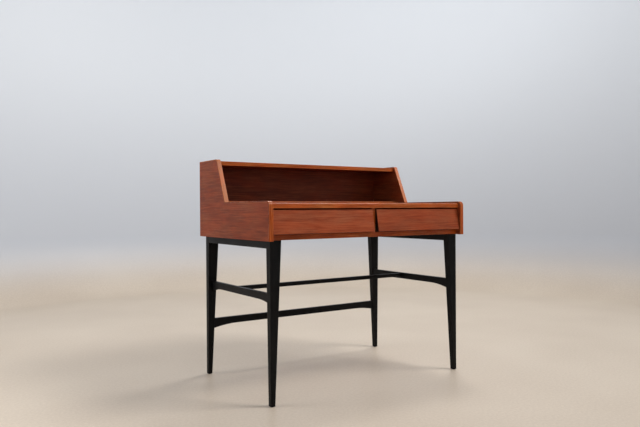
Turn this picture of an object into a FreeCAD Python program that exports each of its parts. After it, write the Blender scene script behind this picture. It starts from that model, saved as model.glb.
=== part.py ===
import FreeCAD, Part
import math
import os
import Sketcher

# A writing desk with an open niche at the back, two drawers that lean forward, and a dark frame of
# four tapered legs tied by arched stretchers.
#
# Frame: +X to the sitter's right, -Y towards the sitter, +Z up. The origin is on the floor, below
# the middle of the desk. Lengths are in millimetres. Sizes that end in _y are measured backwards
# from the front edges of the side panels, and sizes that end in _z upwards from the floor.

document = FreeCAD.newDocument("SecretaryDesk")
sheet = document.addObject("Spreadsheet::Sheet", "Dims")

DIMENSIONS = {
    # overall
    "width": 998, "depth": 632, "height": 942,
    # side panels, with a glued solid edge strip, the lipping
    "panel_thickness": 19, "panel_bottom_z": 612, "panel_edge_z": 760, "panel_lipping": 4,
    "slope_foot_y": 373, "slope_head_y": 453, "front_corner_radius": 18, "head_corner_radius": 12,
    "panel_arris": 1,
    # boards between the side panels
    "worktop_top_z": 753, "worktop_thickness": 21, "worktop_front_y": 14, "worktop_nosing": 12,
    "nosing_radius": 6, "nosing_lower_radius": 2,
    "niche_floor_thickness": 12, "niche_floor_housing": 1, "niche_floor_front_y": 425,
    "niche_floor_lipping": 8, "niche_lipping_radius": 2,
    "top_board_z": 935.5, "top_board_thickness": 17.5, "top_board_front_y": 461,
    "bottom_z": 614, "bottom_thickness": 20, "bottom_front_y": 27, "board_lipping": 6,
    "board_arris": 1, "divider_thickness": 18, "divider_shift": 4, "housing_depth": 4,
    "boards_rear_y": 620, "back_thickness": 6, "back_rebate": 9, "back_joint_gap": 1,
    "back_bottom_z": 616,
    # drawers: the fronts lean, with the lower edge further forward
    "front_bottom_z": 636, "front_height": 91, "front_thickness": 18,
    "front_lower_y": 4, "front_upper_y": 20, "front_gap": 1,
    "front_edge_radius": 1.5,
    "box_gap": 6, "box_side": 12, "box_bottom_z": 640, "box_height": 72, "box_rear_y": 585,
    "box_back_y": 565, "box_back_bottom_z": 651.2, "box_back_top_z": 706,
    "tray_z": 647, "tray_thickness": 4, "tray_groove": 5, "tray_play": 0.2,
    "runner_z": 670.3, "runner_height": 12, "runner_reach": 5, "runner_front_y": 60,
    "runner_rear_y": 600, "slide_play": 0.3, "slide_groove": 6, "slide_groove_front_y": 55,
    "stop_length": 24, "stop_height": 16, "stop_inset": 8, "stop_play": 0.4,
    # legs: square outside, tapered inside
    "leg_head_x": 48, "leg_head_y": 32, "leg_foot_x": 18.5, "leg_foot_y": 20,
    "leg_side_inset": 19.5, "leg_front_inset": 28, "leg_rear_inset": 18, "leg_arris": 1.5,
    "glide_height": 2, "glide_radius": 7, "glide_pin_radius": 1.2, "glide_pin_length": 14,
    # rails of the base
    "apron_height": 30.5, "apron_thickness": 26,
    "stretcher_thickness": 16, "side_stretcher_top_z": 412.5, "side_stretcher_waist": 28,
    "side_stretcher_end": 42, "side_stretcher_flare": 105, "side_stretcher_inset": 37.5,
    "back_stretcher_top_z": 245, "back_stretcher_waist": 29.5, "back_stretcher_end": 43,
    "back_stretcher_flare": 115, "back_stretcher_inset": 22,
    "cross_bar_top_z": 410.5, "cross_bar_height": 17, "cross_bar_depth": 18,
    "cross_bar_front_y": 364, "rail_arris": 1.2,
    # dowels and screws
    "dowel_radius": 4, "dowel_length": 30, "dowel_play": 0.05, "dowel_end_play": 0.5,
    "case_dowel_shift": 3, "case_dowel_first_y": 70, "case_dowel_step": 160,
    "top_dowel_first_y": 500, "top_dowel_step": 80,
    "box_dowel_radius": 3, "box_dowel_length": 24, "box_dowel_shift": 4,
    "box_dowel_rise": 20, "box_dowel_drop": 14,
    "apron_dowel_spread": 7, "stretcher_dowel_drop": 9, "stretcher_dowel_step": 18,
    "cross_bar_dowel_shift": 4,
    "screw_radius": 1.5, "screw_length": 16, "screw_head_radius": 3, "screw_head_height": 1.8,
    "screw_head_top_radius": 1.8, "screw_slot_width": 0.8, "screw_slot_depth": 0.9,
    "runner_recess": 3, "runner_screw_first": 60, "runner_screw_step": 210,
    "runner_screw_stagger": 15,
    "back_screw_step": 200, "back_screw_shift": 30, "back_screw_row_inset": 5,
    "base_screw_radius": 2.5, "base_screw_length": 30, "base_screw_head_radius": 4.5,
    "base_screw_head_height": 3, "base_screw_recess_radius": 5.5, "base_screw_recess": 15,
    "base_screw_spread": 186,
}

for row, (alias, size) in enumerate(DIMENSIONS.items(), start=1):
    sheet.set(f"A{row}", alias)
    sheet.set(f"B{row}", str(size))
    sheet.setAlias(f"B{row}", alias)
document.recompute()

# Places and sizes that follow from the driving dimensions, as expressions of the sheet.
HALF_WIDTH = "Dims.width / 2"
PANEL_FACE = "(Dims.width / 2 - Dims.panel_thickness)"
DIVIDER_LEFT = "(Dims.divider_shift - Dims.divider_thickness / 2)"
DIVIDER_RIGHT = "(Dims.divider_shift + Dims.divider_thickness / 2)"
WORKTOP_BOTTOM = "(Dims.worktop_top_z - Dims.worktop_thickness)"
TOP_BOARD_BOTTOM = "(Dims.top_board_z - Dims.top_board_thickness)"
BOTTOM_TOP = "(Dims.bottom_z + Dims.bottom_thickness)"
LEAN = "((Dims.front_upper_y - Dims.front_lower_y) / Dims.front_height)"
SLOPE = "((Dims.slope_head_y - Dims.slope_foot_y) / (Dims.height - Dims.panel_edge_z))"
SLOPE_SHIFT = f"(Dims.panel_lipping * (sqrt(1 + {SLOPE} ^ 2) - {SLOPE}))"
NICHE_FLOOR_BOTTOM = "(Dims.worktop_top_z - Dims.niche_floor_housing)"
BACK_JOINT = "(Dims.worktop_top_z - Dims.worktop_thickness / 2)"
BACK_SCREW_COLUMNS = (-2, -1, 0, 1, 2)
BASE_SCREW_PLACES = (-1, 0, 1)
LONG_EDGE_SHARE = 0.9  # a leg's corner edges are at least this share of its length
TOLERANCE = 0.01  # two places nearer than this are the same
SIDES = {"left": -1, "right": 1}
ENDS = {"front": 1, "rear": -1}
AXES = {"x": FreeCAD.Vector(1, 0, 0), "y": FreeCAD.Vector(0, 1, 0), "z": FreeCAD.Vector(0, 0, 1)}
TURNS = {
    "x": FreeCAD.Rotation(FreeCAD.Vector(0, 1, 0), 90),
    "y": FreeCAD.Rotation(FreeCAD.Vector(1, 0, 0), -90),
    "z": FreeCAD.Rotation(),
}

pieces = []


def value(expression):
    """The number that an expression of the sheet gives now."""
    return float(sheet.evalExpression(expression))


def behind_front(size):
    """The Y place of a point that lies size behind the front edges of the side panels."""
    return f"(({size}) - Dims.depth / 2)"


def front_inner_y(level):
    """How far behind the front edges the inner face of a leaning drawer front is at this level."""
    return f"(Dims.front_lower_y + {LEAN} * (({level}) - Dims.front_bottom_z) + Dims.front_thickness)"


def leg_taper(axis, level):
    """The size of a leg's section along x or y at this level above the floor."""
    foot = f"Dims.leg_foot_{axis}"
    rise = f"((({level}) - Dims.glide_height) / (Dims.bottom_z - Dims.glide_height))"
    return f"({foot} + (Dims.leg_head_{axis} - {foot}) * {rise})"


class Piece:
    """One solid: a PartDesign body whose own origin sits at x, y, z in the desk's frame."""

    def __init__(self, label, x="0", y="0", z="0"):
        self.body = document.addObject("PartDesign::Body", label)
        self.body.Label = label
        self.origin = {"x": x, "y": y, "z": z}
        for axis, place in self.origin.items():
            self.body.setExpression(f".Placement.Base.{axis}", place)
        pieces.append(self.body)

    def local(self, axis, place):
        """A place in the desk's frame, as an expression in the body's own frame."""
        return f"({place}) - ({self.origin[axis]})"

    def sketch(self, plane, level="0"):
        """An empty sketch on one of the body's origin planes, raised by level along its normal."""
        profile = self.body.newObject("Sketcher::SketchObject", "Profile")
        support = next(o for o in self.body.Origin.OriginFeatures if o.Role == plane)
        profile.AttachmentSupport = [(support, "")]
        profile.MapMode = "FlatFace"
        profile.setExpression(".AttachmentOffset.Base.z", level)
        return profile

    def pad(self, plane, corners, length):
        """A closed outline through the corners, padded by length along the plane's normal."""
        profile = self.sketch(plane)
        draw_outline(profile, corners)
        pad = self.body.newObject("PartDesign::Pad", "Pad")
        pad.Profile = profile
        pad.setExpression("Length", length)
        return pad

    def cut_through(self, plane, corners):
        """Takes away everything inside an outline, all the way through on both sides of the plane."""
        profile = self.sketch(plane)
        draw_outline(profile, corners)
        pocket = self.body.newObject("PartDesign::Pocket", "Pocket")
        pocket.Profile = profile
        pocket.Type = "ThroughAll"
        pocket.Midplane = True

    def cut_box(self, low, size):
        """Takes away a box. low is its lowest corner in the desk's frame."""
        cut = self.body.newObject("PartDesign::SubtractiveBox", "Recess")
        for axis, place in zip("xyz", low):
            cut.setExpression(f".Placement.Base.{axis}", self.local(axis, place))
        for name, length in zip(("Length", "Width", "Height"), size):
            cut.setExpression(name, length)

    def bore(self, centre, axis, radius, length):
        """Takes away a round hole of this length, with its middle at centre in the desk's frame."""
        hole = self.body.newObject("PartDesign::SubtractiveCylinder", "Bore")
        hole.setExpression("Radius", radius)
        hole.setExpression("Height", length)
        hole.Placement = FreeCAD.Placement(FreeCAD.Vector(), TURNS[axis])
        for name, place in zip("xyz", centre):
            start = self.local(name, place)
            if name == axis:
                start = f"{start} - ({length}) / 2"
            hole.setExpression(f".Placement.Base.{name}", start)

    def round_edges(self, radius, is_chosen):
        """Rounds each edge of the body's present shape that is_chosen accepts.

        The rounding runs on along any edge that goes on smoothly from a chosen one.
        """
        document.recompute()
        shape = self.body.Shape
        names = [f"Edge{i}" for i, edge in enumerate(shape.Edges, start=1) if is_chosen(edge)]
        if not names:
            raise RuntimeError(f"{self.body.Label}: no edge to round")
        rounded = self.body.Tip
        fillet = self.body.newObject("PartDesign::Fillet", "Rounding")
        fillet.Base = (rounded, names)
        fillet.setExpression("Radius", radius)


def draw_outline(profile, corners):
    """Straight lines from corner to corner, each corner tied to the sheet by its two distances."""
    points = [FreeCAD.Vector(value(x), value(y), 0) for x, y in corners]
    count = len(points)
    for i in range(count):
        profile.addGeometry(Part.LineSegment(points[i], points[(i + 1) % count]), False)
    for i in range(count):
        profile.addConstraint(Sketcher.Constraint("Coincident", i, 2, (i + 1) % count, 1))
        tie_point(profile, i, 1, corners[i])


def tie_point(profile, line, end, corner):
    """Ties one end of a sketched line to a corner given by two expressions."""
    for kind, expression in zip(("DistanceX", "DistanceY"), corner):
        distance = Sketcher.Constraint(kind, -1, 1, line, end, value(expression))
        number = profile.addConstraint(distance)
        profile.setExpression(f"Constraints[{number}]", expression)


def board(label, low, size):
    """A plain rectangular board. low is its lowest corner and size its length, width, thickness."""
    piece = Piece(label, *low)
    length, width, thickness = size
    piece.pad("XY_Plane", [("0", "0"), (length, "0"), (length, width), ("0", width)], thickness)
    return piece


def edge_along(direction, **place):
    """A test for straight edges along an axis, whose middle has the given x, y or z places."""
    wanted = {axis: value(expression) for axis, expression in place.items()}

    def is_chosen(edge):
        box = edge.BoundBox
        lengths = {"x": box.XLength, "y": box.YLength, "z": box.ZLength}
        across = [length for axis, length in lengths.items() if axis != direction]
        misses = [abs(getattr(box.Center, axis) - number) for axis, number in wanted.items()]
        return max(across + misses) < TOLERANCE

    return is_chosen


def group(label, solids):
    """Identical loose pieces, such as dowels, as one object of separate solids."""
    feature = document.addObject("Part::Feature", label)
    feature.Label = label
    feature.Shape = Part.makeCompound(solids)
    feature.Placement = FreeCAD.Placement()
    pieces.append(feature)


def point(place):
    """A place given by three expressions, as a vector."""
    return FreeCAD.Vector(*(value(expression) for expression in place))


# ---------------------------------------------------------------- side panels

def panel_corners(inset, shift):
    """The top front part of a side panel's outline, from the front edge up and back to the rear.

    inset moves the outline inwards by the lipping, and shift does the same along the slope.
    """
    return [
        (inset, f"Dims.panel_edge_z - Dims.panel_bottom_z - ({inset})"),
        (f"Dims.slope_foot_y + ({shift})", f"Dims.panel_edge_z - Dims.panel_bottom_z - ({inset})"),
        (f"Dims.slope_head_y + ({shift})", f"Dims.height - Dims.panel_bottom_z - ({inset})"),
    ]


def panel_origin(side):
    """The lowest corner of a side panel, on its front edge line."""
    x = "-Dims.width / 2" if side == "left" else PANEL_FACE
    return x, behind_front("0"), "Dims.panel_bottom_z"


def side_panel(side):
    """The veneered core of a side panel, with its rebate for the backs and its dowel holes."""
    panel = Piece(f"{side}_side_panel", *panel_origin(side))
    lipping = "Dims.panel_lipping"
    knee, foot, head = panel_corners(lipping, SLOPE_SHIFT)
    outline = [(lipping, "0"), knee, foot, head, ("Dims.depth", head[1]), ("Dims.depth", "0")]
    panel.pad("YZ_Plane", outline, "Dims.panel_thickness")
    front = behind_front(lipping)
    top = f"Dims.panel_edge_z - {lipping}"
    panel.round_edges(f"Dims.front_corner_radius - {lipping}", edge_along("x", y=front, z=top))
    head_y = behind_front(f"Dims.slope_head_y + {SLOPE_SHIFT}")
    panel.round_edges(f"Dims.head_corner_radius - {lipping}",
                      edge_along("x", y=head_y, z=f"Dims.height - {lipping}"))
    rebate_x = f"-{PANEL_FACE} - Dims.back_rebate" if side == "left" else PANEL_FACE
    panel.cut_box(
        (rebate_x, behind_front("Dims.boards_rear_y"), "Dims.panel_bottom_z"),
        ("Dims.back_rebate", "Dims.depth - Dims.boards_rear_y",
         "Dims.top_board_z - Dims.panel_bottom_z"))
    return panel


def lower_lipping(side):
    """The edge strip up the front of a side panel, round its corner and back to the slope."""
    lipping = "Dims.panel_lipping"
    outer_knee, outer_foot, _ = panel_corners("0", "0")
    inner_knee, inner_foot, _ = panel_corners(lipping, SLOPE_SHIFT)
    strip = Piece(f"{side}_panel_lower_lipping", *panel_origin(side))
    outline = [("0", "0"), outer_knee, outer_foot, inner_foot, inner_knee, (lipping, "0")]
    strip.pad("YZ_Plane", outline, "Dims.panel_thickness")
    strip.round_edges("Dims.front_corner_radius",
                      edge_along("x", y=behind_front("0"), z="Dims.panel_edge_z"))
    strip.round_edges(f"Dims.front_corner_radius - {lipping}",
                      edge_along("x", y=behind_front(lipping), z=f"Dims.panel_edge_z - {lipping}"))
    strip.round_edges("Dims.panel_arris", edge_along("z", y=behind_front("0")))


def upper_lipping(side):
    """The edge strip up the slope of a side panel and back along its top."""
    lipping = "Dims.panel_lipping"
    _, outer_foot, outer_head = panel_corners("0", "0")
    _, inner_foot, inner_head = panel_corners(lipping, SLOPE_SHIFT)
    strip = Piece(f"{side}_panel_upper_lipping", *panel_origin(side))
    outline = [outer_foot, outer_head, ("Dims.depth", outer_head[1]), ("Dims.depth", inner_head[1]),
               inner_head, inner_foot]
    strip.pad("YZ_Plane", outline, "Dims.panel_thickness")
    strip.round_edges("Dims.head_corner_radius",
                      edge_along("x", y=behind_front("Dims.slope_head_y"), z="Dims.height"))
    head_y = behind_front(f"Dims.slope_head_y + {SLOPE_SHIFT}")
    strip.round_edges(f"Dims.head_corner_radius - {lipping}",
                      edge_along("x", y=head_y, z=f"Dims.height - {lipping}"))
    strip.round_edges("Dims.panel_arris", edge_along("y", z="Dims.height"))


# ---------------------------------------------------------------- boards of the case

def case_board(label, front_y, bottom_z, thickness):
    """A board that spans between the side panels, from front_y back to the back panels."""
    return board(
        label,
        (f"-{PANEL_FACE}", behind_front(front_y), bottom_z),
        (f"2 * {PANEL_FACE}", f"Dims.boards_rear_y - ({front_y})", thickness))


def case_lipping(label, front_y, width, bottom_z, thickness):
    """A solid strip glued along the front edge of such a board."""
    return board(
        label,
        (f"-{PANEL_FACE}", behind_front(front_y), bottom_z),
        (f"2 * {PANEL_FACE}", width, thickness))


def plain_lipping(label, front_y, bottom_z, thickness):
    """A lipping with both its front edges eased."""
    strip = case_lipping(label, front_y, "Dims.board_lipping", bottom_z, thickness)
    strip.round_edges("Dims.board_arris", edge_along("x", y=behind_front(front_y)))


def worktop():
    main = case_board("worktop", "Dims.worktop_front_y + Dims.worktop_nosing", WORKTOP_BOTTOM,
                      "Dims.worktop_thickness")
    cut_divider_housing(main, WORKTOP_BOTTOM)
    front = "Dims.niche_floor_front_y"
    main.cut_box(
        (f"-{PANEL_FACE}", behind_front(front), NICHE_FLOOR_BOTTOM),
        (f"2 * {PANEL_FACE}", f"Dims.boards_rear_y - {front}", "Dims.niche_floor_housing"))
    nosing = case_lipping("worktop_nosing", "Dims.worktop_front_y", "Dims.worktop_nosing",
                          WORKTOP_BOTTOM, "Dims.worktop_thickness")
    front = behind_front("Dims.worktop_front_y")
    nosing.round_edges("Dims.nosing_radius", edge_along("x", y=front, z="Dims.worktop_top_z"))
    nosing.round_edges("Dims.nosing_lower_radius", edge_along("x", y=front, z=WORKTOP_BOTTOM))
    return main


def niche_floor():
    """The raised floor of the niche. It lies in a shallow housing of the worktop."""
    thickness = "Dims.niche_floor_thickness + Dims.niche_floor_housing"
    case_board("niche_floor", "Dims.niche_floor_front_y + Dims.niche_floor_lipping",
               NICHE_FLOOR_BOTTOM, thickness)
    strip = case_lipping("niche_floor_lipping", "Dims.niche_floor_front_y",
                         "Dims.niche_floor_lipping", NICHE_FLOOR_BOTTOM, thickness)
    strip.round_edges("Dims.niche_lipping_radius", edge_along(
        "x", y=behind_front("Dims.niche_floor_front_y"),
        z="Dims.worktop_top_z + Dims.niche_floor_thickness"))


def top_board():
    main = case_board("niche_top", "Dims.top_board_front_y + Dims.board_lipping", TOP_BOARD_BOTTOM,
                      "Dims.top_board_thickness")
    plain_lipping("niche_top_lipping", "Dims.top_board_front_y", TOP_BOARD_BOTTOM,
                  "Dims.top_board_thickness")
    return main


def bottom_board():
    main = case_board("case_bottom", "Dims.bottom_front_y + Dims.board_lipping", "Dims.bottom_z",
                      "Dims.bottom_thickness")
    cut_divider_housing(main, f"{BOTTOM_TOP} - Dims.housing_depth")
    plain_lipping("case_bottom_lipping", "Dims.bottom_front_y", "Dims.bottom_z",
                  "Dims.bottom_thickness")
    return main


def cut_divider_housing(piece, level):
    """The shallow trench that the centre divider is glued into."""
    front = "Dims.bottom_front_y + Dims.board_lipping"
    piece.cut_box(
        (DIVIDER_LEFT, behind_front(front), level),
        ("Dims.divider_thickness", f"Dims.boards_rear_y - ({front})", "Dims.housing_depth"))


def centre_divider():
    front = "Dims.bottom_front_y + Dims.board_lipping"
    divider = board(
        "centre_divider",
        (DIVIDER_LEFT, behind_front(front), f"{BOTTOM_TOP} - Dims.housing_depth"),
        ("Dims.divider_thickness", f"Dims.boards_rear_y - ({front})",
         f"{WORKTOP_BOTTOM} - {BOTTOM_TOP} + 2 * Dims.housing_depth"))
    board("centre_divider_lipping",
          (DIVIDER_LEFT, behind_front("Dims.bottom_front_y"), BOTTOM_TOP),
          ("Dims.divider_thickness", "Dims.board_lipping", f"{WORKTOP_BOTTOM} - {BOTTOM_TOP}"))
    return divider


def back_panel(label, bottom_z, top_z):
    """A thin back panel, let into the rebates of the side panels."""
    return board(
        label,
        (f"-{PANEL_FACE} - Dims.back_rebate", behind_front("Dims.boards_rear_y"), bottom_z),
        (f"2 * ({PANEL_FACE} + Dims.back_rebate)", "Dims.back_thickness",
         f"({top_z}) - ({bottom_z})"))


# ---------------------------------------------------------------- drawers

def drawer_span(side):
    """The low and high X of one drawer's opening."""
    if side == "left":
        return f"(-{PANEL_FACE})", DIVIDER_LEFT
    return DIVIDER_RIGHT, PANEL_FACE


def drawer_front(side):
    """The leaning front: its section is a parallelogram with level top and bottom edges."""
    low, high = drawer_span(side)
    front = Piece(f"{side}_drawer_front", f"{low} + Dims.front_gap", behind_front("0"),
                  "Dims.front_bottom_z")
    outline = [
        ("Dims.front_lower_y", "0"),
        ("Dims.front_lower_y + Dims.front_thickness", "0"),
        ("Dims.front_upper_y + Dims.front_thickness", "Dims.front_height"),
        ("Dims.front_upper_y", "Dims.front_height"),
    ]
    front.pad("YZ_Plane", outline, f"{high} - {low} - 2 * Dims.front_gap")

    def is_on_outer_face(edge):
        middle = edge.BoundBox.Center
        outer_y = behind_front(f"{front_inner_y(middle.z)} - Dims.front_thickness")
        return abs(middle.y - value(outer_y)) < TOLERANCE

    front.round_edges("Dims.front_edge_radius", is_on_outer_face)
    inner = "Dims.box_gap + Dims.box_side - Dims.tray_groove"
    front.cut_box(
        (f"{low} + {inner}", behind_front(f"{front_inner_y('Dims.tray_z')} - Dims.tray_groove"),
         "Dims.tray_z"),
        (f"{high} - {low} - 2 * ({inner})", "2 * Dims.tray_groove",
         "Dims.tray_thickness + Dims.tray_play"))
    return front


def box_sides(side):
    """The two long sides of one drawer, grooved outside for the runners and inside for the tray."""
    low, high = drawer_span(side)
    top = "Dims.box_bottom_z + Dims.box_height"
    outline = [
        (front_inner_y("Dims.box_bottom_z"), "0"),
        ("Dims.box_rear_y", "0"),
        ("Dims.box_rear_y", "Dims.box_height"),
        (front_inner_y(top), "Dims.box_height"),
    ]
    places = {
        "left": (f"{low} + Dims.box_gap", "0", "Dims.box_side - Dims.tray_groove"),
        "right": (f"{high} - Dims.box_gap - Dims.box_side", "Dims.box_side - Dims.slide_groove", "0"),
    }
    sides = {}
    for hand, (x, slide_x, tray_x) in places.items():
        box_side = Piece(f"{side}_drawer_{hand}_side", x, behind_front("0"), "Dims.box_bottom_z")
        box_side.pad("YZ_Plane", outline, "Dims.box_side")
        box_side.cut_box(
            (f"{x} + {slide_x}", behind_front("Dims.slide_groove_front_y"),
             "Dims.runner_z - Dims.slide_play"),
            ("Dims.slide_groove", "Dims.box_rear_y - Dims.slide_groove_front_y",
             "Dims.runner_height + 2 * Dims.slide_play"))
        box_side.cut_box(
            (f"{x} + {tray_x}", behind_front("0"), "Dims.tray_z"),
            ("Dims.tray_groove", "Dims.box_rear_y", "Dims.tray_thickness + Dims.tray_play"))
        sides[hand] = box_side
    return sides


def box_back(side):
    low, high = drawer_span(side)
    inner = "(Dims.box_gap + Dims.box_side)"
    return board(
        f"{side}_drawer_back",
        (f"{low} + {inner}", behind_front("Dims.box_back_y"), "Dims.box_back_bottom_z"),
        (f"{high} - {low} - 2 * {inner}", "Dims.box_side",
         "Dims.box_back_top_z - Dims.box_back_bottom_z"))


def tray(side):
    """The thin bottom of a drawer, slid into its grooves from behind."""
    low, high = drawer_span(side)
    edge = "(Dims.box_gap + Dims.box_side - Dims.tray_groove + Dims.tray_play)"
    front_y = f"{front_inner_y('Dims.tray_z')} - Dims.tray_groove + Dims.tray_play"
    rear_y = "Dims.box_back_y + Dims.box_side"
    board(f"{side}_drawer_bottom",
          (f"{low} + {edge}", behind_front(front_y), "Dims.tray_z"),
          (f"{high} - {low} - 2 * {edge}", f"{rear_y} - ({front_y})", "Dims.tray_thickness"))


def drawer_dowels(side, front, sides, back):
    """Bores the four corners of one drawer and makes the dowels that hold them."""
    low, high = drawer_span(side)
    radius = "Dims.box_dowel_radius"
    hole_length = "Dims.box_dowel_length + 2 * Dims.dowel_end_play"
    levels = ["Dims.box_bottom_z + Dims.box_dowel_rise",
              "Dims.box_bottom_z + Dims.box_height - Dims.box_dowel_drop"]
    joints = []
    for hand, box_side in sides.items():
        edge, inwards = (low, 1) if hand == "left" else (high, -1)
        middle_x = f"{edge} + {inwards} * (Dims.box_gap + Dims.box_side / 2)"
        back_x = f"{edge} + {inwards} * (Dims.box_gap + Dims.box_side + Dims.box_dowel_shift)"
        for level in levels:
            front_joint = (middle_x, behind_front(front_inner_y(level)), level)
            back_joint = (back_x, behind_front("Dims.box_back_y + Dims.box_side / 2"), level)
            for piece in (front, box_side):
                piece.bore(front_joint, "y", radius, hole_length)
            for piece in (back, box_side):
                piece.bore(back_joint, "x", radius, hole_length)
            joints += [(front_joint, "y"), (back_joint, "x")]
    group(f"{side}_drawer_dowels",
          [dowel(place, axis, radius, "Dims.box_dowel_length") for place, axis in joints])


def drawer(side):
    front = drawer_front(side)
    sides = box_sides(side)
    back = box_back(side)
    tray(side)
    drawer_dowels(side, front, sides, back)


def runners(side, panel, divider):
    """The two strips that one drawer's side grooves slide on, screwed to panel and divider."""
    low, high = drawer_span(side)
    width = "(Dims.box_gap + Dims.runner_reach)"
    walls = {"left": panel, "right": divider} if side == "left" else {"left": divider, "right": panel}
    screws = []
    for hand, wall in walls.items():
        x = low if hand == "left" else f"{high} - {width}"
        runner = board(
            f"{side}_drawer_{hand}_runner",
            (x, behind_front("Dims.runner_front_y"), "Dims.runner_z"),
            (width, "Dims.runner_rear_y - Dims.runner_front_y", "Dims.runner_height"))
        inwards = 1 if hand == "left" else -1
        face = low if hand == "left" else high
        head_x = f"{face} + {inwards} * ({width} - Dims.runner_recess)"
        tip_x = f"{head_x} - {inwards} * Dims.screw_length"
        stagger = "0" if side == "left" else "Dims.runner_screw_stagger"
        for count in range(3):
            offset = f"Dims.runner_screw_first + {count} * Dims.runner_screw_step - {stagger}"
            y = behind_front(f"Dims.runner_front_y + {offset}")
            z = "Dims.runner_z + Dims.runner_height / 2"
            recess_x = f"{face} + {inwards} * ({width} - Dims.runner_recess / 2)"
            shank_x = f"{head_x} - {inwards} * Dims.screw_length / 2"
            runner.bore((recess_x, y, z), "x", "Dims.screw_head_radius + Dims.dowel_play",
                        "Dims.runner_recess")
            for piece in (runner, wall):
                piece.bore((shank_x, y, z), "x", "Dims.screw_radius + Dims.dowel_play",
                           "Dims.screw_length + Dims.dowel_play")
            screws.append(screw((tip_x, y, z), AXES["x"] * inwards))
    return screws


def drawer_stops():
    """Blocks on the case bottom that the drawer sides come to rest against."""
    stops = []
    for side in SIDES:
        low, high = drawer_span(side)
        for x in (f"{low} + Dims.stop_inset", f"{high} - Dims.stop_inset - Dims.stop_length"):
            corner = point((x, behind_front("Dims.box_rear_y + Dims.stop_play"), BOTTOM_TOP))
            length = value("Dims.stop_length")
            stops.append(Part.makeBox(length, length, value("Dims.stop_height"), corner))
    group("drawer_stops", stops)


# ---------------------------------------------------------------- base

def leg_corner(side, end):
    """The outer vertical edge of a leg: its X and Y, and the signs that point inwards."""
    across = -SIDES[side]
    along = ENDS[end]
    x = f"{SIDES[side]} * ({HALF_WIDTH} - Dims.leg_side_inset)"
    if end == "front":
        return x, behind_front("Dims.leg_front_inset"), across, along
    return x, behind_front("Dims.depth - Dims.leg_rear_inset"), across, along


def leg(side, end):
    """A leg sawn from square stock: both inner faces taper to the foot, both outer ones don't."""
    x, y, across, along = leg_corner(side, end)
    piece = Piece(f"{end}_{side}_leg", x, y, "Dims.glide_height")
    length = "Dims.bottom_z - Dims.glide_height"
    wide = f"{across} * Dims.leg_head_x"
    deep = f"{along} * Dims.leg_head_y"
    piece.pad("XY_Plane", [("0", "0"), (wide, "0"), (wide, deep), ("0", deep)], length)
    piece.cut_through("XZ_Plane", [(f"{across} * Dims.leg_foot_x", "0"), (wide, "0"), (wide, length)])
    piece.cut_through("YZ_Plane", [(f"{along} * Dims.leg_foot_y", "0"), (deep, "0"), (deep, length)])
    shortest = LONG_EDGE_SHARE * value(length)
    piece.round_edges("Dims.leg_arris", lambda edge: edge.Length > shortest)
    return piece


def leg_inner_y(end, level):
    """How far behind the front edges the inner face of a front or rear leg is at this level."""
    if end == "front":
        return f"(Dims.leg_front_inset + {leg_taper('y', level)})"
    return f"(Dims.depth - Dims.leg_rear_inset - {leg_taper('y', level)})"


def leg_inner_x(side, level):
    """The X of the inner face of a left or right leg at this level."""
    return f"({SIDES[side]} * ({HALF_WIDTH} - Dims.leg_side_inset - {leg_taper('x', level)}))"


def apron(side):
    """The upper side rail, flush with the outer faces of the legs, right under the case."""
    bottom = "(Dims.bottom_z - Dims.apron_height)"
    outer = f"({HALF_WIDTH} - Dims.leg_side_inset)"
    x = f"-{outer}" if side == "left" else f"{outer} - Dims.apron_thickness"
    piece = Piece(f"{side}_apron", x, behind_front("0"), bottom)
    outline = [
        (leg_inner_y("front", bottom), "0"),
        (leg_inner_y("rear", bottom), "0"),
        (leg_inner_y("rear", "Dims.bottom_z"), "Dims.apron_height"),
        (leg_inner_y("front", "Dims.bottom_z"), "Dims.apron_height"),
    ]
    piece.pad("YZ_Plane", outline, "Dims.apron_thickness")
    piece.round_edges("Dims.rail_arris", edge_along("y", z=bottom))
    return piece


def draw_arched_bar(profile, low_end, high_end, top, waist, end_height, flare):
    """A bar with a straight top whose underside curves down to both ends.

    low_end and high_end give the end face's place at a level. The underside is level at the waist
    and meets each end through one arc, tangent to the level stretch.
    """
    bottom = f"({top} - ({end_height}))"
    waist_z = f"({top} - ({waist}))"
    corners = [
        (low_end(bottom), bottom),
        (f"{low_end(bottom)} + {flare}", waist_z),
        (f"{high_end(bottom)} - {flare}", waist_z),
        (high_end(bottom), bottom),
        (high_end(top), top),
        (low_end(top), top),
    ]
    points = [FreeCAD.Vector(value(x), value(z), 0) for x, z in corners]
    run = value(flare)
    drop = value(f"{end_height} - {waist}")
    radius = (run ** 2 + drop ** 2) / (2 * drop)
    half_turn = math.asin(run / radius) / 2
    rise = FreeCAD.Vector(0, radius, 0)
    for start, finish, centre, sign in (
            (points[0], points[1], points[1] - rise, 1),
            (points[2], points[3], points[2] - rise, -1)):
        middle = centre + FreeCAD.Vector(-sign * math.sin(half_turn), math.cos(half_turn), 0) * radius
        profile.addGeometry(Part.Arc(start, middle, finish), False)
    # Arcs made clockwise are kept anticlockwise, so each arc's far end is its first point.
    for i, j in ((1, 2), (3, 4), (4, 5), (5, 0)):
        profile.addGeometry(Part.LineSegment(points[i], points[j]), False)
    joins = [("Tangent", 0, 1, 2, 1), ("Tangent", 1, 2, 2, 2), ("Coincident", 1, 1, 3, 1),
             ("Coincident", 3, 2, 4, 1), ("Coincident", 4, 2, 5, 1), ("Coincident", 5, 2, 0, 2)]
    for join in joins:
        profile.addConstraint(Sketcher.Constraint(*join))
    ties = ((5, 2, 0), (2, 1, 1), (2, 2, 2), (3, 1, 3), (4, 1, 4), (5, 1, 5))
    for line, end, corner in ties:
        tie_point(profile, line, end, corners[corner])


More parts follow.
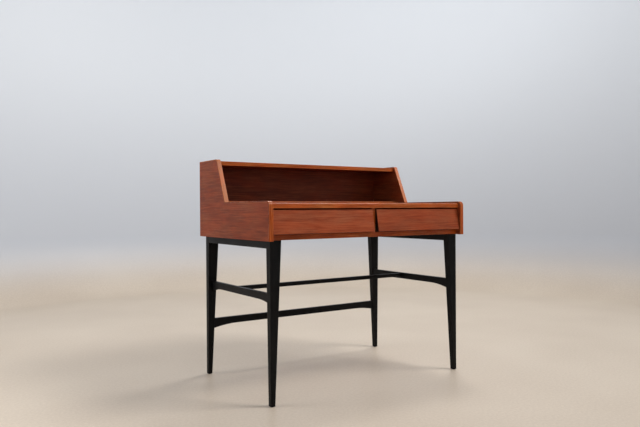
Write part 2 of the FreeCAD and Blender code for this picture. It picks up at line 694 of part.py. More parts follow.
def side_stretcher(side):
    outer = f"({HALF_WIDTH} - Dims.side_stretcher_inset)"
    x = f"-{outer}" if side == "left" else f"{outer} - Dims.stretcher_thickness"
    piece = Piece(f"{side}_stretcher", x, behind_front("0"), "0")
    profile = piece.sketch("YZ_Plane")
    draw_arched_bar(
        profile, lambda level: leg_inner_y("front", level), lambda level: leg_inner_y("rear", level),
        "Dims.side_stretcher_top_z", "Dims.side_stretcher_waist", "Dims.side_stretcher_end",
        "Dims.side_stretcher_flare")
    pad = piece.body.newObject("PartDesign::Pad", "Pad")
    pad.Profile = profile
    pad.setExpression("Length", "Dims.stretcher_thickness")
    piece.round_edges("Dims.rail_arris", edge_along("y", z="Dims.side_stretcher_top_z"))
    return piece


def back_stretcher():
    """The long low stretcher between the rear legs. Its sketch plane faces forward."""
    piece = Piece("back_stretcher", "0", behind_front("Dims.depth - Dims.back_stretcher_inset"), "0")
    profile = piece.sketch("XZ_Plane")
    draw_arched_bar(
        profile, lambda level: leg_inner_x("left", level), lambda level: leg_inner_x("right", level),
        "Dims.back_stretcher_top_z", "Dims.back_stretcher_waist", "Dims.back_stretcher_end",
        "Dims.back_stretcher_flare")
    pad = piece.body.newObject("PartDesign::Pad", "Pad")
    pad.Profile = profile
    pad.setExpression("Length", "Dims.stretcher_thickness")
    piece.round_edges("Dims.rail_arris", edge_along("x", z="Dims.back_stretcher_top_z"))
    return piece


CROSS_BAR_END = f"({HALF_WIDTH} - Dims.side_stretcher_inset - Dims.stretcher_thickness)"


def cross_bar():
    """The slender bar that ties the two side stretchers together."""
    bar = board(
        "cross_bar",
        (f"-{CROSS_BAR_END}", behind_front("Dims.cross_bar_front_y"),
         "Dims.cross_bar_top_z - Dims.cross_bar_height"),
        (f"2 * {CROSS_BAR_END}", "Dims.cross_bar_depth", "Dims.cross_bar_height"))
    bar.round_edges("Dims.rail_arris", edge_along("x"))
    return bar


def foot_glides(legs):
    """A smooth pad with a pin under each leg."""
    glides = []
    for (side, end), piece in legs.items():
        x, y, across, along = leg_corner(side, end)
        middle = (f"{x} + {across} * Dims.leg_foot_x / 2", f"{y} + {along} * Dims.leg_foot_y / 2")
        pin_z = "Dims.glide_height + Dims.glide_pin_length / 2"
        piece.bore((*middle, pin_z), "z", "Dims.glide_pin_radius + Dims.dowel_play",
                   "Dims.glide_pin_length + Dims.dowel_play")
        pad = Part.makeCylinder(value("Dims.glide_radius"), value("Dims.glide_height"),
                                point((*middle, "0")))
        pin = Part.makeCylinder(value("Dims.glide_pin_radius"), value("Dims.glide_pin_length"),
                                point((*middle, "Dims.glide_height")))
        glides.append(pad.fuse(pin).removeSplitter())
    group("foot_glides", glides)


# ---------------------------------------------------------------- dowels and screws

def dowel(place, axis, radius, length):
    """One dowel with its middle at place."""
    size = value(length)
    start = point(place) - AXES[axis] * (size / 2)
    return Part.makeCylinder(value(f"{radius} - Dims.dowel_play"), size, start, AXES[axis])


def screw(tip, direction):
    """A slotted round-head screw. tip is the point's place and direction runs to its head."""
    start = point(tip)
    length = value("Dims.screw_length")
    head_radius = value("Dims.screw_head_radius")
    head_height = value("Dims.screw_head_height")
    shank = Part.makeCylinder(value("Dims.screw_radius"), length, start, direction)
    seat = start + direction * length
    top_radius = value("Dims.screw_head_top_radius")
    head = Part.makeCone(head_radius, top_radius, head_height, seat, direction)
    depth = value("Dims.screw_slot_depth")
    width = value("Dims.screw_slot_width")
    slot = Part.makeBox(2 * head_radius, width, depth)
    slot.translate(FreeCAD.Vector(-head_radius, -width / 2, head_height - depth))
    turn = FreeCAD.Rotation(FreeCAD.Vector(0, 0, 1), direction)
    slot.Placement = FreeCAD.Placement(seat, turn).multiply(slot.Placement)
    return shank.fuse(head).cut(slot)


def case_dowels(panels, boards):
    """Bores the side panels and the board ends and makes the dowels of these joints."""
    radius = "Dims.dowel_radius"
    hole_length = "Dims.dowel_length + 2 * Dims.dowel_end_play"
    dowels = []
    for piece, level, places in boards:
        for side, panel in panels.items():
            x = f"{SIDES[side]} * ({PANEL_FACE} - Dims.case_dowel_shift)"
            for place in places:
                joint = (x, behind_front(place), level)
                for bored in (piece, panel):
                    bored.bore(joint, "x", radius, hole_length)
                dowels.append(dowel(joint, "x", radius, "Dims.dowel_length"))
    group("case_dowels", dowels)


def base_dowels(legs, aprons, stretchers, rear, bar):
    """Bores the base's joints and makes their dowels."""
    radius = "Dims.dowel_radius"
    length = "Dims.dowel_length"
    hole_length = "Dims.dowel_length + 2 * Dims.dowel_end_play"
    stretcher_drops = ("Dims.stretcher_dowel_drop",
                       "Dims.stretcher_dowel_drop + Dims.stretcher_dowel_step")
    joints = []
    for (side, end), leg_piece in legs.items():
        level = "Dims.bottom_z - Dims.apron_height / 2"
        for hand in (-1, 1):
            x = (f"{SIDES[side]} * ({HALF_WIDTH} - Dims.leg_side_inset"
                 f" - Dims.apron_thickness / 2 + {hand} * Dims.apron_dowel_spread)")
            place = (x, behind_front(leg_inner_y(end, level)), level)
            joints.append((place, "y", leg_piece, aprons[side]))
        x = (f"{SIDES[side]} * ({HALF_WIDTH} - Dims.side_stretcher_inset"
             " - Dims.stretcher_thickness / 2)")
        for drop in stretcher_drops:
            level = f"Dims.side_stretcher_top_z - ({drop})"
            place = (x, behind_front(leg_inner_y(end, level)), level)
            joints.append((place, "y", leg_piece, stretchers[side]))
        if end == "rear":
            y = behind_front("Dims.depth - Dims.back_stretcher_inset - Dims.stretcher_thickness / 2")
            for drop in stretcher_drops:
                level = f"Dims.back_stretcher_top_z - ({drop})"
                joints.append(((leg_inner_x(side, level), y, level), "x", leg_piece, rear))
    for side, stretcher in stretchers.items():
        place = (f"{SIDES[side]} * ({CROSS_BAR_END} - Dims.cross_bar_dowel_shift)",
                 behind_front("Dims.cross_bar_front_y + Dims.cross_bar_depth / 2"),
                 "Dims.cross_bar_top_z - Dims.cross_bar_height / 2")
        joints.append((place, "x", stretcher, bar))
    for place, axis, first, second in joints:
        for piece in (first, second):
            piece.bore(place, axis, radius, hole_length)
    group("base_dowels", [dowel(place, axis, radius, length) for place, axis, _, _ in joints])


def back_screws(backs):
    """Screws through the back panels into the rear edges of the boards. backs holds the rows."""
    screws = []
    for back, row_board, level in backs:
        for column in BACK_SCREW_COLUMNS:
            x = f"{column} * Dims.back_screw_step + Dims.back_screw_shift"
            seat_y = behind_front("Dims.boards_rear_y + Dims.back_thickness")
            middle_y = f"{seat_y} - Dims.screw_length / 2"
            for piece in (back, row_board):
                piece.bore((x, middle_y, level), "y", "Dims.screw_radius + Dims.dowel_play",
                           "Dims.screw_length + Dims.dowel_play")
            screws.append(screw((x, f"{seat_y} - Dims.screw_length", level), AXES["y"]))
    group("back_panel_screws", screws)


def base_screws(aprons, case_bottom):
    """Long screws, sunk into the aprons from below, that hold the case on the base."""
    screws = []
    apron_bottom = "(Dims.bottom_z - Dims.apron_height)"
    seat_z = f"({apron_bottom} + Dims.base_screw_recess)"
    length = value("Dims.base_screw_length")
    for side, piece in aprons.items():
        x = f"{SIDES[side]} * ({HALF_WIDTH} - Dims.leg_side_inset - Dims.apron_thickness / 2)"
        for place in BASE_SCREW_PLACES:
            y = f"{place} * Dims.base_screw_spread"
            piece.bore((x, y, f"{apron_bottom} + Dims.base_screw_recess / 2"), "z",
                       "Dims.base_screw_recess_radius", "Dims.base_screw_recess")
            for bored in (piece, case_bottom):
                bored.bore((x, y, f"{seat_z} + Dims.base_screw_length / 2"), "z",
                           "Dims.base_screw_radius + Dims.dowel_play",
                           "Dims.base_screw_length + Dims.dowel_play")
            seat = point((x, y, seat_z))
            shank = Part.makeCylinder(value("Dims.base_screw_radius"), length, seat)
            head = Part.makeCylinder(value("Dims.base_screw_head_radius"),
                                     value("Dims.base_screw_head_height"), seat, -AXES["z"])
            screws.append(shank.fuse(head).removeSplitter())
    group("base_screws", screws)


# ---------------------------------------------------------------- the whole desk

def build_case():
    panels = {side: side_panel(side) for side in SIDES}
    for side in SIDES:
        lower_lipping(side)
        upper_lipping(side)
    top = worktop()
    niche_floor()
    upper = top_board()
    bottom = bottom_board()
    divider = centre_divider()
    half_gap = "Dims.back_joint_gap / 2"
    lower_back = back_panel("case_back", "Dims.back_bottom_z", f"{BACK_JOINT} - {half_gap}")
    upper_back = back_panel("niche_back", f"{BACK_JOINT} + {half_gap}",
                            f"Dims.top_board_z - {half_gap}")
    long_row = [f"Dims.case_dowel_first_y + {count} * Dims.case_dowel_step" for count in range(4)]
    short_row = [f"Dims.top_dowel_first_y + {count} * Dims.top_dowel_step" for count in range(2)]
    case_dowels(panels, [
        (bottom, "Dims.bottom_z + Dims.bottom_thickness / 2", long_row),
        (top, BACK_JOINT, long_row),
        (upper, "Dims.top_board_z - Dims.top_board_thickness / 2", short_row),
    ])
    back_screws([
        (lower_back, bottom, "Dims.bottom_z + Dims.bottom_thickness / 2"),
        (lower_back, top, f"{BACK_JOINT} - Dims.back_screw_row_inset"),
        (upper_back, top, f"{BACK_JOINT} + Dims.back_screw_row_inset"),
        (upper_back, upper, "Dims.top_board_z - Dims.top_board_thickness / 2"),
    ])
    screws = []
    for side in SIDES:
        screws += runners(side, panels[side], divider)
    group("runner_screws", screws)
    drawer_stops()
    return bottom


def build_base(case_bottom):
    legs = {(side, end): leg(side, end) for side in SIDES for end in ENDS}
    aprons = {side: apron(side) for side in SIDES}
    stretchers = {side: side_stretcher(side) for side in SIDES}
    base_dowels(legs, aprons, stretchers, back_stretcher(), cross_bar())
    base_screws(aprons, case_bottom)
    foot_glides(legs)


def check():
    """Stops the script if an object failed or a piece has no sound shape."""
    document.recompute()
    for item in document.Objects:
        if "Invalid" in item.State or "Error" in item.State:
            raise RuntimeError(f"{item.Label} failed: {item.State}")
    for piece in pieces:
        if piece.Shape.isNull() or not piece.Shape.isValid():
            raise RuntimeError(f"{piece.Label} has no sound shape")


def export():
    os.makedirs("parts", exist_ok=True)
    for piece in pieces:
        piece.Shape.exportStep(os.path.join("parts", f"{piece.Label}.step"))
    print(f"{len(pieces)} nodes written")


case_bottom = build_case()
for side in SIDES:
    drawer(side)
build_base(case_bottom)
check()
export()
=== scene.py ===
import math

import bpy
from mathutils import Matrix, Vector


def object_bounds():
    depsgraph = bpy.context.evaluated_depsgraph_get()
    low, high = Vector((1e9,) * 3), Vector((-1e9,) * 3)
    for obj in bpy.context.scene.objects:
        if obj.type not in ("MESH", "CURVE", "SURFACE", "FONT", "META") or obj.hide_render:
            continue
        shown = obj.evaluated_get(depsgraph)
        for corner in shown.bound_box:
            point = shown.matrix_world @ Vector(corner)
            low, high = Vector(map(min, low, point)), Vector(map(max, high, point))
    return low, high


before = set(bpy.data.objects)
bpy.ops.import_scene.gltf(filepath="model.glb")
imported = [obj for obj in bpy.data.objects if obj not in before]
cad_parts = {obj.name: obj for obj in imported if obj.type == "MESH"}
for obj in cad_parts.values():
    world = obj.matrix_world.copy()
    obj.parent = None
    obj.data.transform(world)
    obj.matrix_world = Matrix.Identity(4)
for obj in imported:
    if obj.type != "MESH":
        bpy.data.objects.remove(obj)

# The looks of the secretary desk: finishes, stage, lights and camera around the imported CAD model.
#
# Lengths are in metres, in the frame of the CAD model: +X to the sitter's right, -Y towards the
# sitter, +Z up, origin on the floor below the middle of the desk.

cad_low, cad_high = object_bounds()


# ---------------------------------------------------------------- node building

SHIFT_NAME = "grain_shift"
# The property with each piece's tone, which on some pieces is painted light or painted shade.
TONE_AND_LIGHT_NAME = "wood_tone_and_painted_light"
SHIFT_DIRECTION = (3.1, 1.7, 2.3)
BEVEL_SAMPLES = 4


class Finish:
    """One material and short ways to add nodes to it.

    Every input may be a node's output or a plain number, colour or vector.
    """

    def __init__(self, name):
        self.material = bpy.data.materials.new(name)
        self.material.use_nodes = True
        self.tree = self.material.node_tree
        self.shader = self.tree.nodes["Principled BSDF"]

    def feed(self, socket, source):
        """Links an output to an input, or sets the input to a constant."""
        if isinstance(source, bpy.types.NodeSocket):
            self.tree.links.new(source, socket)
        else:
            socket.default_value = source

    def math(self, operation, first, second=0.0):
        node = self.tree.nodes.new("ShaderNodeMath")
        node.operation = operation
        self.feed(node.inputs[0], first)
        self.feed(node.inputs[1], second)
        return node.outputs[0]

    def vector(self, operation, first, second):
        node = self.tree.nodes.new("ShaderNodeVectorMath")
        node.operation = operation
        self.feed(node.inputs[0], first)
        self.feed(node.inputs["Scale" if operation == "SCALE" else 1], second)
        return node.outputs["Value" if operation == "DOT_PRODUCT" else "Vector"]

    def noise(self, place, stretch, detail=2.0, roughness=0.5):
        """Cloudy values of about 0.2 to 0.8. stretch gives the clouds per metre along each axis."""
        node = self.tree.nodes.new("ShaderNodeTexNoise")
        self.feed(node.inputs["Vector"], self.vector("MULTIPLY", place, stretch))
        node.inputs["Scale"].default_value = 1.0
        node.inputs["Detail"].default_value = detail
        node.inputs["Roughness"].default_value = roughness
        return node.outputs["Fac"]

    def spread(self, source, low, high, to_low=0.0, to_high=1.0):
        """Moves the range low to high of a value smoothly onto to_low to to_high."""
        node = self.tree.nodes.new("ShaderNodeMapRange")
        node.interpolation_type = "SMOOTHSTEP"
        for socket, number in zip(node.inputs, (source, low, high, to_low, to_high)):
            self.feed(socket, number)
        return node.outputs[0]

    def ramp(self, source, colours):
        """Runs through a list of evenly spaced colours as the value goes from 0 to 1."""
        node = self.tree.nodes.new("ShaderNodeValToRGB")
        elements = node.color_ramp.elements
        while len(elements) < len(colours):
            elements.new(0.5)
        for i, colour in enumerate(colours):
            elements[i].position = i / (len(colours) - 1)
            elements[i].color = (*colour, 1.0)
        self.feed(node.inputs[0], source)
        return node.outputs[0]

    def blend(self, amount, first, second):
        """Goes from the first colour to the second as amount goes from 0 to 1."""
        node = self.tree.nodes.new("ShaderNodeMix")
        node.data_type = "RGBA"
        self.feed(node.inputs["Factor"], amount)
        for name, colour in (("A", first), ("B", second)):
            socket = next(s for s in node.inputs if s.name == name and s.type == "RGBA")
            self.feed(socket, (*colour, 1.0) if isinstance(colour, tuple) else colour)
        return next(s for s in node.outputs if s.type == "RGBA")

    def place(self):
        """The place on the piece, shifted by the piece's own amount so that no two look alike."""
        shift = self.vector("SCALE", SHIFT_DIRECTION, self.own(SHIFT_NAME))
        return self.vector("ADD", self.coordinates("Object"), shift)

    def coordinates(self, name):
        return self.tree.nodes.new("ShaderNodeTexCoord").outputs[name]

    def split(self, vector):
        """The X, Y and Z of a vector."""
        node = self.tree.nodes.new("ShaderNodeSeparateXYZ")
        self.feed(node.inputs[0], vector)
        return node.outputs

    def mix(self, shares):
        """The sum of some values, each times its share."""
        total = 0.0
        for source, share in shares:
            total = self.math("ADD", total, self.math("MULTIPLY", source, share))
        return total

    def colour(self, source):
        self.feed(self.shader.inputs["Base Color"], source)

    def roughness(self, source):
        self.feed(self.shader.inputs["Roughness"], source)

    def own(self, name):
        """A number that each piece carries as its own property."""
        node = self.tree.nodes.new("ShaderNodeAttribute")
        node.attribute_type = "OBJECT"
        node.attribute_name = name
        return node.outputs["Fac"]

    def edge(self, radius):
        """About 1 on the edges of the piece and 0 away from them."""
        bevel = self.tree.nodes.new("ShaderNodeBevel")
        bevel.samples = BEVEL_SAMPLES
        bevel.inputs["Radius"].default_value = radius
        normal = self.tree.nodes.new("ShaderNodeNewGeometry").outputs["Normal"]
        likeness = self.vector("DOT_PRODUCT", bevel.outputs[0], normal)
        return self.spread(likeness, 1.0, 0.9)

    def facing(self, direction):
        """1 where the surface faces along this direction of the piece, to and fro, and 0 elsewhere."""
        likeness = self.vector("DOT_PRODUCT", self.coordinates("Normal"), direction)
        return self.spread(self.math("ABSOLUTE", likeness), 0.8, 0.95)

    def bump(self, height, distance, strength):
        node = self.tree.nodes.new("ShaderNodeBump")
        node.inputs["Distance"].default_value = distance
        node.inputs["Strength"].default_value = strength
        self.feed(node.inputs["Height"], height)
        self.feed(self.shader.inputs["Normal"], node.outputs[0])

    def gloss(self, specular=0.5, metallic=0.0):
        """The constants of the shader's gloss."""
        self.shader.inputs["Specular IOR Level"].default_value = specular
        self.shader.inputs["Metallic"].default_value = metallic


def grain_place(finish, axis):
    """The place on a piece with X along the grain, and Y and Z across it.

    axis is x, y or z, or "strip" for a strip that bends in the YZ plane, such as a panel's lipping.
    """
    x, y, z = finish.split(finish.place())
    along, across, through = {
        "x": (x, y, z),
        "y": (y, z, x),
        "z": (z, x, y),
        "strip": (finish.math("ADD", y, z), x, 0.0),
    }[axis]
    combine = finish.tree.nodes.new("ShaderNodeCombineXYZ")
    for socket, source in zip(combine.inputs, (along, across, through)):
        finish.feed(socket, source)
    return combine.outputs[0]


# ---------------------------------------------------------------- finishes

# The near black of the painted shade on the faces towards +X and -X.
PAINTED_SHADE_COLOUR = (0.008, 0.005, 0.004)
COOL_TINT = (0.94, 1.06, 1.16)
WARM_TINT = (1.06, 0.94, 0.84)

# How the wood's figure is stretched, in clouds per metre along, across and through the grain.
SWAY_STRETCH = (1.3, 5.0, 5.0)
CLOUD_STRETCH = (6.0, 16.0, 16.0)
WARMTH_STRETCH = (9.0, 26.0, 26.0)
FIBRE_STRETCH = (14.0, 620.0, 620.0)
PORE_STRETCH = (60.0, 1500.0, 1500.0)
WEAR_STRETCH = (14.0, 14.0, 14.0)
BANDS_ALONG = 0.9
STREAKS_ALONG = 8.0
STREAKS_PER_BAND = 7

SWAY = (0.0, 0.02, 0.02)  # how far the grain lines wander sideways, in metres

# What each part of the figure adds to the tone, and the tones of the darkest and the palest colour.
CLOUD_SHARE = 0.20
BAND_SHARE = 0.16
STREAK_SHARE = 0.38
FIBRE_SHARE = 0.26
DARK_TONE = 0.37
PALE_TONE = 0.63

PORE_SHARE = 0.5
# The faces that get painted shade: those towards +X and -X.
SHADED_FACES = (1.0, 0.0, 0.0)

# Widths of the worn edges and depths of the fine relief, in metres.
WOOD_EDGE = 0.0012
WOOD_RELIEF = 0.00010
LACQUER_EDGE = 0.0018
STEEL_EDGE = 0.0004
STEEL_RELIEF = 0.00003
NYLON_EDGE = 0.0006
NYLON_RELIEF = 0.00004

# How much rougher the worn edges are.
WOOD_WEAR = 0.12
LACQUER_WEAR = 0.25

LACQUER_DARK = (0.0035, 0.0035, 0.0038)
LACQUER_PALE = (0.0065, 0.0063, 0.0063)
LACQUER_RUBBED = (0.11, 0.075, 0.050)


def wood(name, axis, colours, pore_colour, worn_colour, figure_width=0.035, roughness=0.42,
         specular=0.13, tint_share=0.9, painted_shade_share=0.0):
    """Straight-grained wood under a satin finish.

    Broad clouds and bands, streaks and fibres choose the colour from dark to light. Pores are short
    dark dashes, and the edges are paler where hands have worn them. figure_width is the width of a
    band, in metres. tint_share is how far patches of the wood turn cooler and warmer. The painted
    shade share is how far the faces towards +X and -X are darkened as painted shade: the ends of
    the drawer fronts, and the sides of the panels' edge strips.
    """
    finish = Finish(f"{name}_{axis}")
    place = grain_place(finish, axis)
    sway = finish.noise(place, SWAY_STRETCH, detail=1.0)
    swayed = finish.vector("ADD", place, finish.vector("SCALE", SWAY, sway))
    bands_across = 1.0 / figure_width
    streaks_across = STREAKS_PER_BAND * bands_across
    clouds = finish.noise(place, CLOUD_STRETCH, detail=3.0, roughness=0.6)
    warmth = finish.noise(place, WARMTH_STRETCH)
    bands = finish.noise(swayed, (BANDS_ALONG, bands_across, bands_across))
    streaks = finish.noise(swayed, (STREAKS_ALONG, streaks_across, streaks_across),
                           detail=3.0, roughness=0.65)
    fibres = finish.noise(swayed, FIBRE_STRETCH, detail=3.0, roughness=0.6)
    pores = finish.spread(finish.noise(swayed, PORE_STRETCH, detail=1.0), 0.60, 0.74)
    figure = finish.mix([(clouds, CLOUD_SHARE), (bands, BAND_SHARE),
                         (streaks, STREAK_SHARE), (fibres, FIBRE_SHARE)])
    # The piece's own tone, which on some pieces adds painted light or painted shade.
    tone = finish.math("ADD", figure, finish.own(TONE_AND_LIGHT_NAME))
    colour = finish.ramp(finish.spread(tone, DARK_TONE, PALE_TONE), colours)
    warmth = finish.spread(warmth, 0.35, 0.65, 0.5 - tint_share / 2, 0.5 + tint_share / 2)
    colour = finish.vector("MULTIPLY", colour, finish.blend(warmth, COOL_TINT, WARM_TINT))
    colour = finish.blend(finish.math("MULTIPLY", pores, PORE_SHARE), colour, pore_colour)
    patches = finish.noise(place, WEAR_STRETCH, detail=3.0, roughness=0.65)
    worn = finish.math("MULTIPLY", finish.edge(WOOD_EDGE), finish.spread(patches, 0.35, 0.65, 0.1, 0.6))
    colour = finish.blend(worn, colour, worn_colour)
    # Painted shade: the faces towards +X and -X turn towards near black, standing in for the shade in
    # the gaps beside them.
    if painted_shade_share:
        dark = finish.math("MULTIPLY", finish.facing(SHADED_FACES), painted_shade_share)
        colour = finish.blend(dark, colour, PAINTED_SHADE_COLOUR)
    finish.colour(colour)
    satin = finish.spread(fibres, 0.3, 0.7, roughness - 0.05, roughness + 0.09)
    finish.roughness(finish.math("ADD", satin, finish.math("MULTIPLY", worn, WOOD_WEAR)))
    finish.bump(finish.math("SUBTRACT", fibres, pores), distance=WOOD_RELIEF, strength=0.40)
    finish.gloss(specular=specular)
    return finish.material


def teak_veneer(axis):
    """Oiled teak veneer, red brown with fine darker lines."""
    return wood("teak_veneer", axis,
                [(0.140, 0.024, 0.008), (0.218, 0.043, 0.014), (0.300, 0.072, 0.026)],
                pore_colour=(0.080, 0.014, 0.006), worn_colour=(0.42, 0.15, 0.07))


def teak_front(axis):
    """The veneer of the drawer fronts, a little redder and more even, with painted shade on the end
    faces.
    """
    return wood("teak_front", axis,
                [(0.205, 0.034, 0.011), (0.295, 0.057, 0.018), (0.385, 0.092, 0.034)],
                pore_colour=(0.100, 0.017, 0.008), worn_colour=(0.45, 0.16, 0.08),
                # The end faces of the fronts get strong painted shade.
                figure_width=0.022, painted_shade_share=0.97)


def teak_solid(axis):
    """Solid teak of the lippings and the nosing, more orange than the veneer, with painted shade on the
    faces towards +X and -X.
    """
    return wood("teak_solid", axis,
                [(0.260, 0.046, 0.008), (0.405, 0.085, 0.015), (0.560, 0.150, 0.034)],
                pore_colour=(0.130, 0.025, 0.008), worn_colour=(0.60, 0.25, 0.11),
                # The sides of the lippings get mild painted shade.
                figure_width=0.030, roughness=0.24, specular=0.20, painted_shade_share=0.45)


def beech(axis):
    """Bare beech of the drawer boxes, runners and dowels."""
    return wood("beech", axis,
                [(0.40, 0.235, 0.125), (0.50, 0.315, 0.180), (0.58, 0.390, 0.240)],
                pore_colour=(0.26, 0.13, 0.06), worn_colour=(0.60, 0.42, 0.27),
                figure_width=0.045, roughness=0.55, tint_share=0.2)


def plywood(axis):
    """Birch plywood of the drawer bottoms."""
    return wood("plywood", axis,
                [(0.46, 0.310, 0.180), (0.54, 0.385, 0.240), (0.61, 0.455, 0.300)],
                pore_colour=(0.33, 0.20, 0.11), worn_colour=(0.62, 0.47, 0.32),
                figure_width=0.080, roughness=0.60, tint_share=0.2)


def back_board(axis):
    """Stained plywood of the case back."""
    return wood("back_board", axis,
                [(0.130, 0.060, 0.030), (0.190, 0.095, 0.050), (0.250, 0.135, 0.075)],
                pore_colour=(0.08, 0.035, 0.018), worn_colour=(0.32, 0.19, 0.11),
                figure_width=0.060, roughness=0.58, tint_share=0.3)


def black_lacquer(axis):
    """Satin black lacquer over wood, with the grain just showing and the edges rubbed."""
    finish = Finish(f"black_lacquer_{axis}")
    place = grain_place(finish, axis)
    grain = finish.noise(place, (6.0, 380.0, 380.0), detail=3.0, roughness=0.6)
    cloud = finish.noise(place, (7.0, 22.0, 22.0), detail=4.0, roughness=0.6)
    black = finish.ramp(finish.spread(cloud, 0.3, 0.7), [LACQUER_DARK, LACQUER_PALE])
    patches = finish.noise(place, (30.0, 60.0, 60.0), detail=4.0, roughness=0.7)
    rubs = finish.spread(patches, 0.45, 0.7, 0.0, 0.55)
    worn = finish.math("MULTIPLY", finish.edge(LACQUER_EDGE), rubs)
    finish.colour(finish.blend(worn, black, LACQUER_RUBBED))
    satin = finish.spread(cloud, 0.25, 0.75, 0.34, 0.50)
    finish.roughness(finish.math("ADD", satin, finish.math("MULTIPLY", worn, LACQUER_WEAR)))
    finish.bump(grain, distance=WOOD_RELIEF, strength=0.35)
    finish.gloss(specular=0.10)
    return finish.material


def screw_steel(_axis):
    """Plain steel with fine turning marks and a dull film in places."""
    finish = Finish("screw_steel")
    place = finish.place()
    marks = finish.noise(place, (300.0, 300.0, 2600.0))
    film = finish.noise(place, (160.0, 160.0, 160.0), detail=3.0)
    grey = finish.ramp(finish.spread(film, 0.3, 0.7), [(0.36, 0.35, 0.33), (0.55, 0.54, 0.52)])
    worn = finish.math("MULTIPLY", finish.edge(STEEL_EDGE), 0.5)
    finish.colour(finish.blend(worn, grey, (0.75, 0.74, 0.72)))
    finish.roughness(finish.spread(film, 0.3, 0.7, 0.32, 0.50))
    finish.bump(marks, distance=STEEL_RELIEF, strength=0.4)
    finish.gloss(metallic=1.0)
    return finish.material


def glide_nylon(_axis):
    """Dark nylon of the foot glides, scuffed grey where they slide."""
    finish = Finish("glide_nylon")
    place = finish.place()
    grit = finish.noise(place, (260.0, 260.0, 260.0), detail=4.0, roughness=0.7)
    scuffs = finish.spread(grit, 0.4, 0.7)
    worn = finish.math("MULTIPLY", finish.edge(NYLON_EDGE), scuffs)
    dark = finish.ramp(scuffs, [(0.012, 0.012, 0.012), (0.022, 0.021, 0.020)])
    finish.colour(finish.blend(worn, dark, (0.06, 0.058, 0.055)))
    finish.roughness(finish.spread(scuffs, 0.0, 1.0, 0.45, 0.65))
    finish.bump(scuffs, distance=NYLON_RELIEF, strength=0.4)
    finish.gloss(specular=0.3)
    return finish.material


# The finish of each material slot of the CAD model.
FINISHES = {
    "teak_veneer": teak_veneer, "teak_front": teak_front, "teak_solid": teak_solid, "beech": beech,
    "plywood": plywood, "back_board": back_board, "black_lacquer": black_lacquer,
    "screw_steel": screw_steel, "glide_nylon": glide_nylon,
}


def grain_axis(name):
    """The way the grain of a CAD node runs."""
    if name.endswith(("panel_lower_lipping", "panel_upper_lipping")):
        return "strip"
    if name.endswith("_leg"):
        return "z"
    lengthwise = ("side_panel", "_side", "_runner", "_apron", "left_stretcher", "right_stretcher",
                  "centre_divider", "drawer_stops")
    return "y" if name.endswith(lengthwise) else "x"


# How much paler or darker than the rest of its finish a node is. The paler upper lippings and left
# drawer front are painted light, and the darker niche back and case bottom lipping are painted shade.
TONES_AND_PAINTED_LIGHT = {
    "left_panel_upper_lipping": 0.10, "right_panel_upper_lipping": 0.10,
    "left_panel_lower_lipping": -0.04, "right_panel_lower_lipping": -0.02,
    "left_drawer_front": 0.03, "niche_back": -0.03, "case_bottom_lipping": -0.06,
}


def finish_nodes():
    """Gives each CAD node the finish of its slot, with the grain along the piece."""
    made = {}
    for number, (name, piece) in enumerate(sorted(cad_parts.items())):
        piece[SHIFT_NAME] = float(number)
        piece[TONE_AND_LIGHT_NAME] = TONES_AND_PAINTED_LIGHT.get(name, 0.0)
        axis = grain_axis(name)
        for slot in piece.material_slots:
            make_finish = FINISHES[slot.material.name]
            if (make_finish, axis) not in made:
                made[make_finish, axis] = make_finish(axis)
            slot.material = made[make_finish, axis]


# ---------------------------------------------------------------- stage, lights and camera

STAGE_RADIUS = 3.4
STAGE_COVE = 0.5
STAGE_HEIGHT = 3.0
STAGE_SIDES = 96
COVE_STEPS = 12

FLOOR_DARK = (0.67, 0.565, 0.455)
FLOOR_PALE = (0.77, 0.665, 0.545)
# The wall's darker colour low down is painted shade, and its paler colour high up is painted light.
WALL_SHADED = (0.62, 0.66, 0.73)
WALL_LIT = (0.82, 0.87, 0.94)
WALL_SHADE_END = 0.3     # up to here the wall has its darker colour, painted shade low on the wall
WALL_LIGHT_START = 2.2  # from here on its paler colour, painted light high on the wall


def stage_profile():
    """Radius and height of the stage's section, from the middle of the floor to the wall's top."""
    flat = STAGE_RADIUS - STAGE_COVE
    profile = [(0.0, 0.0), (flat, 0.0)]
    for step in range(1, COVE_STEPS + 1):
        turn = math.radians(90) * step / COVE_STEPS
        profile.append((flat + STAGE_COVE * math.sin(turn), STAGE_COVE * (1 - math.cos(turn))))
    profile.append((STAGE_RADIUS, STAGE_HEIGHT))
    return profile


def stage_finish():
    """A pale beige floor that turns into a pale blue grey wall, darker low down and paler high up as
    painted shade and painted light.
    """
    finish = Finish("stage")
    where = finish.coordinates("Object")
    height = finish.split(where)["Z"]
    speckle = finish.noise(where, (90.0, 90.0, 90.0), detail=3.0, roughness=0.7)
    cloud = finish.noise(where, (1.5, 1.5, 1.5))
    tone = finish.mix([(speckle, 0.6), (cloud, 0.4)])
    floor = finish.ramp(finish.spread(tone, 0.3, 0.7), [FLOOR_DARK, FLOOR_PALE])
    # Painted light: the wall's colour goes from darker low down to paler high up.
    wall = finish.blend(finish.spread(height, WALL_SHADE_END, WALL_LIGHT_START), WALL_SHADED, WALL_LIT)
    finish.colour(finish.blend(finish.spread(height, 0.0, STAGE_COVE), floor, wall))
    finish.roughness(0.42)
    finish.gloss(specular=0.3)
    return finish.material


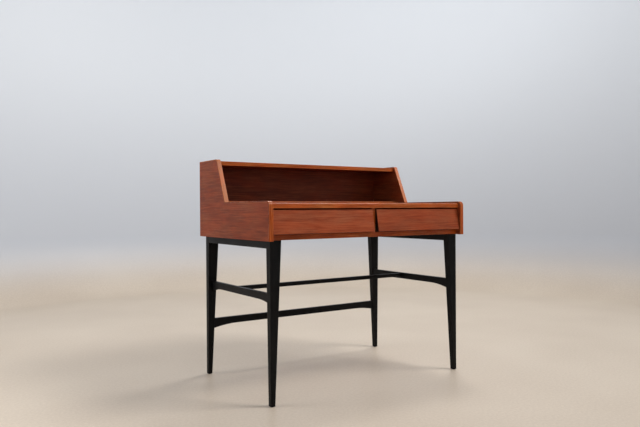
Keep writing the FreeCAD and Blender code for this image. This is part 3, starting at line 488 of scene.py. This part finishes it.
def make_stage():
    """A round floor that curves up into a wall all around, so that every view sees the same."""
    profile = stage_profile()
    points = [(0.0, 0.0, 0.0)]
    faces = []
    for radius, height in profile[1:]:
        for side in range(STAGE_SIDES):
            turn = 2 * math.pi * side / STAGE_SIDES
            points.append((radius * math.cos(turn), radius * math.sin(turn), height))
    for side in range(STAGE_SIDES):
        following = (side + 1) % STAGE_SIDES
        faces.append((0, 1 + side, 1 + following))
        for ring in range(len(profile) - 2):
            inner = 1 + ring * STAGE_SIDES
            outer = inner + STAGE_SIDES
            faces.append((inner + side, outer + side, outer + following, inner + following))
    mesh = bpy.data.meshes.new("stage")
    mesh.from_pydata(points, [], faces)
    mesh.polygons.foreach_set("use_smooth", [True] * len(mesh.polygons))
    mesh.materials.append(stage_finish())
    stage = bpy.data.objects.new("stage", mesh)
    bpy.context.scene.collection.objects.link(stage)


def area_light(name, place, size, power, colour):
    """A square light of size metres and power watts at place, pointing at the middle of the desk."""
    light = bpy.data.lights.new(name, "AREA")
    light.shape = "SQUARE"
    light.size = size
    light.energy = power
    light.color = colour
    item = bpy.data.objects.new(name, light)
    item.visible_camera = False
    item.location = place
    middle = (cad_low + cad_high) / 2
    item.rotation_euler = (middle - Vector(place)).to_track_quat("-Z", "Y").to_euler()
    bpy.context.scene.collection.objects.link(item)


def make_lights():
    """A far key high on the right, a low fill on the left, and a light high behind."""
    area_light("key", (3.0, -2.8, 4.6), size=2.0, power=190.0, colour=(1.0, 0.98, 0.95))
    area_light("left_fill", (-2.6, 0.6, 1.4), size=1.2, power=18.0, colour=(1.0, 0.97, 0.93))
    area_light("rear", (1.6, 1.0, 4.2), size=0.9, power=46.0, colour=(1.0, 0.99, 0.97))


SKY_COLOUR = (0.93, 0.96, 1.0)
SKY_STRENGTH = 0.25


def make_sky():
    """A pale sky that comes in over the stage's wall."""
    world = bpy.data.worlds.new("sky")
    world.use_nodes = True
    background = world.node_tree.nodes["Background"]
    background.inputs["Color"].default_value = (*SKY_COLOUR, 1.0)
    background.inputs["Strength"].default_value = SKY_STRENGTH
    bpy.context.scene.world = world


CAMERA_PLACE = (-1.5853, -2.2762, 0.7272)
CAMERA_TURN = math.radians(33.714)
CAMERA_PITCH = math.radians(-0.368)
CAMERA_ROLL = math.radians(-0.349)
CAMERA_LENS = 34.798  # both in millimetres
CAMERA_SENSOR = 36.0


def make_camera():
    """The photograph's viewing angle: in front to the left, just below the writing surface."""
    data = bpy.data.cameras.new("camera")
    data.sensor_width = CAMERA_SENSOR
    data.lens = CAMERA_LENS
    camera = bpy.data.objects.new("camera", data)
    turn = Matrix.Rotation(-CAMERA_TURN, 4, "Z")
    pitch = Matrix.Rotation(math.radians(90) + CAMERA_PITCH, 4, "X")
    roll = Matrix.Rotation(CAMERA_ROLL, 4, "Z")
    camera.matrix_world = Matrix.Translation(CAMERA_PLACE) @ turn @ pitch @ roll
    bpy.context.scene.collection.objects.link(camera)
    bpy.context.scene.camera = camera


finish_nodes()
make_stage()
make_lights()
make_sky()
make_camera()
bpy.context.scene.view_settings.view_transform = "Standard"
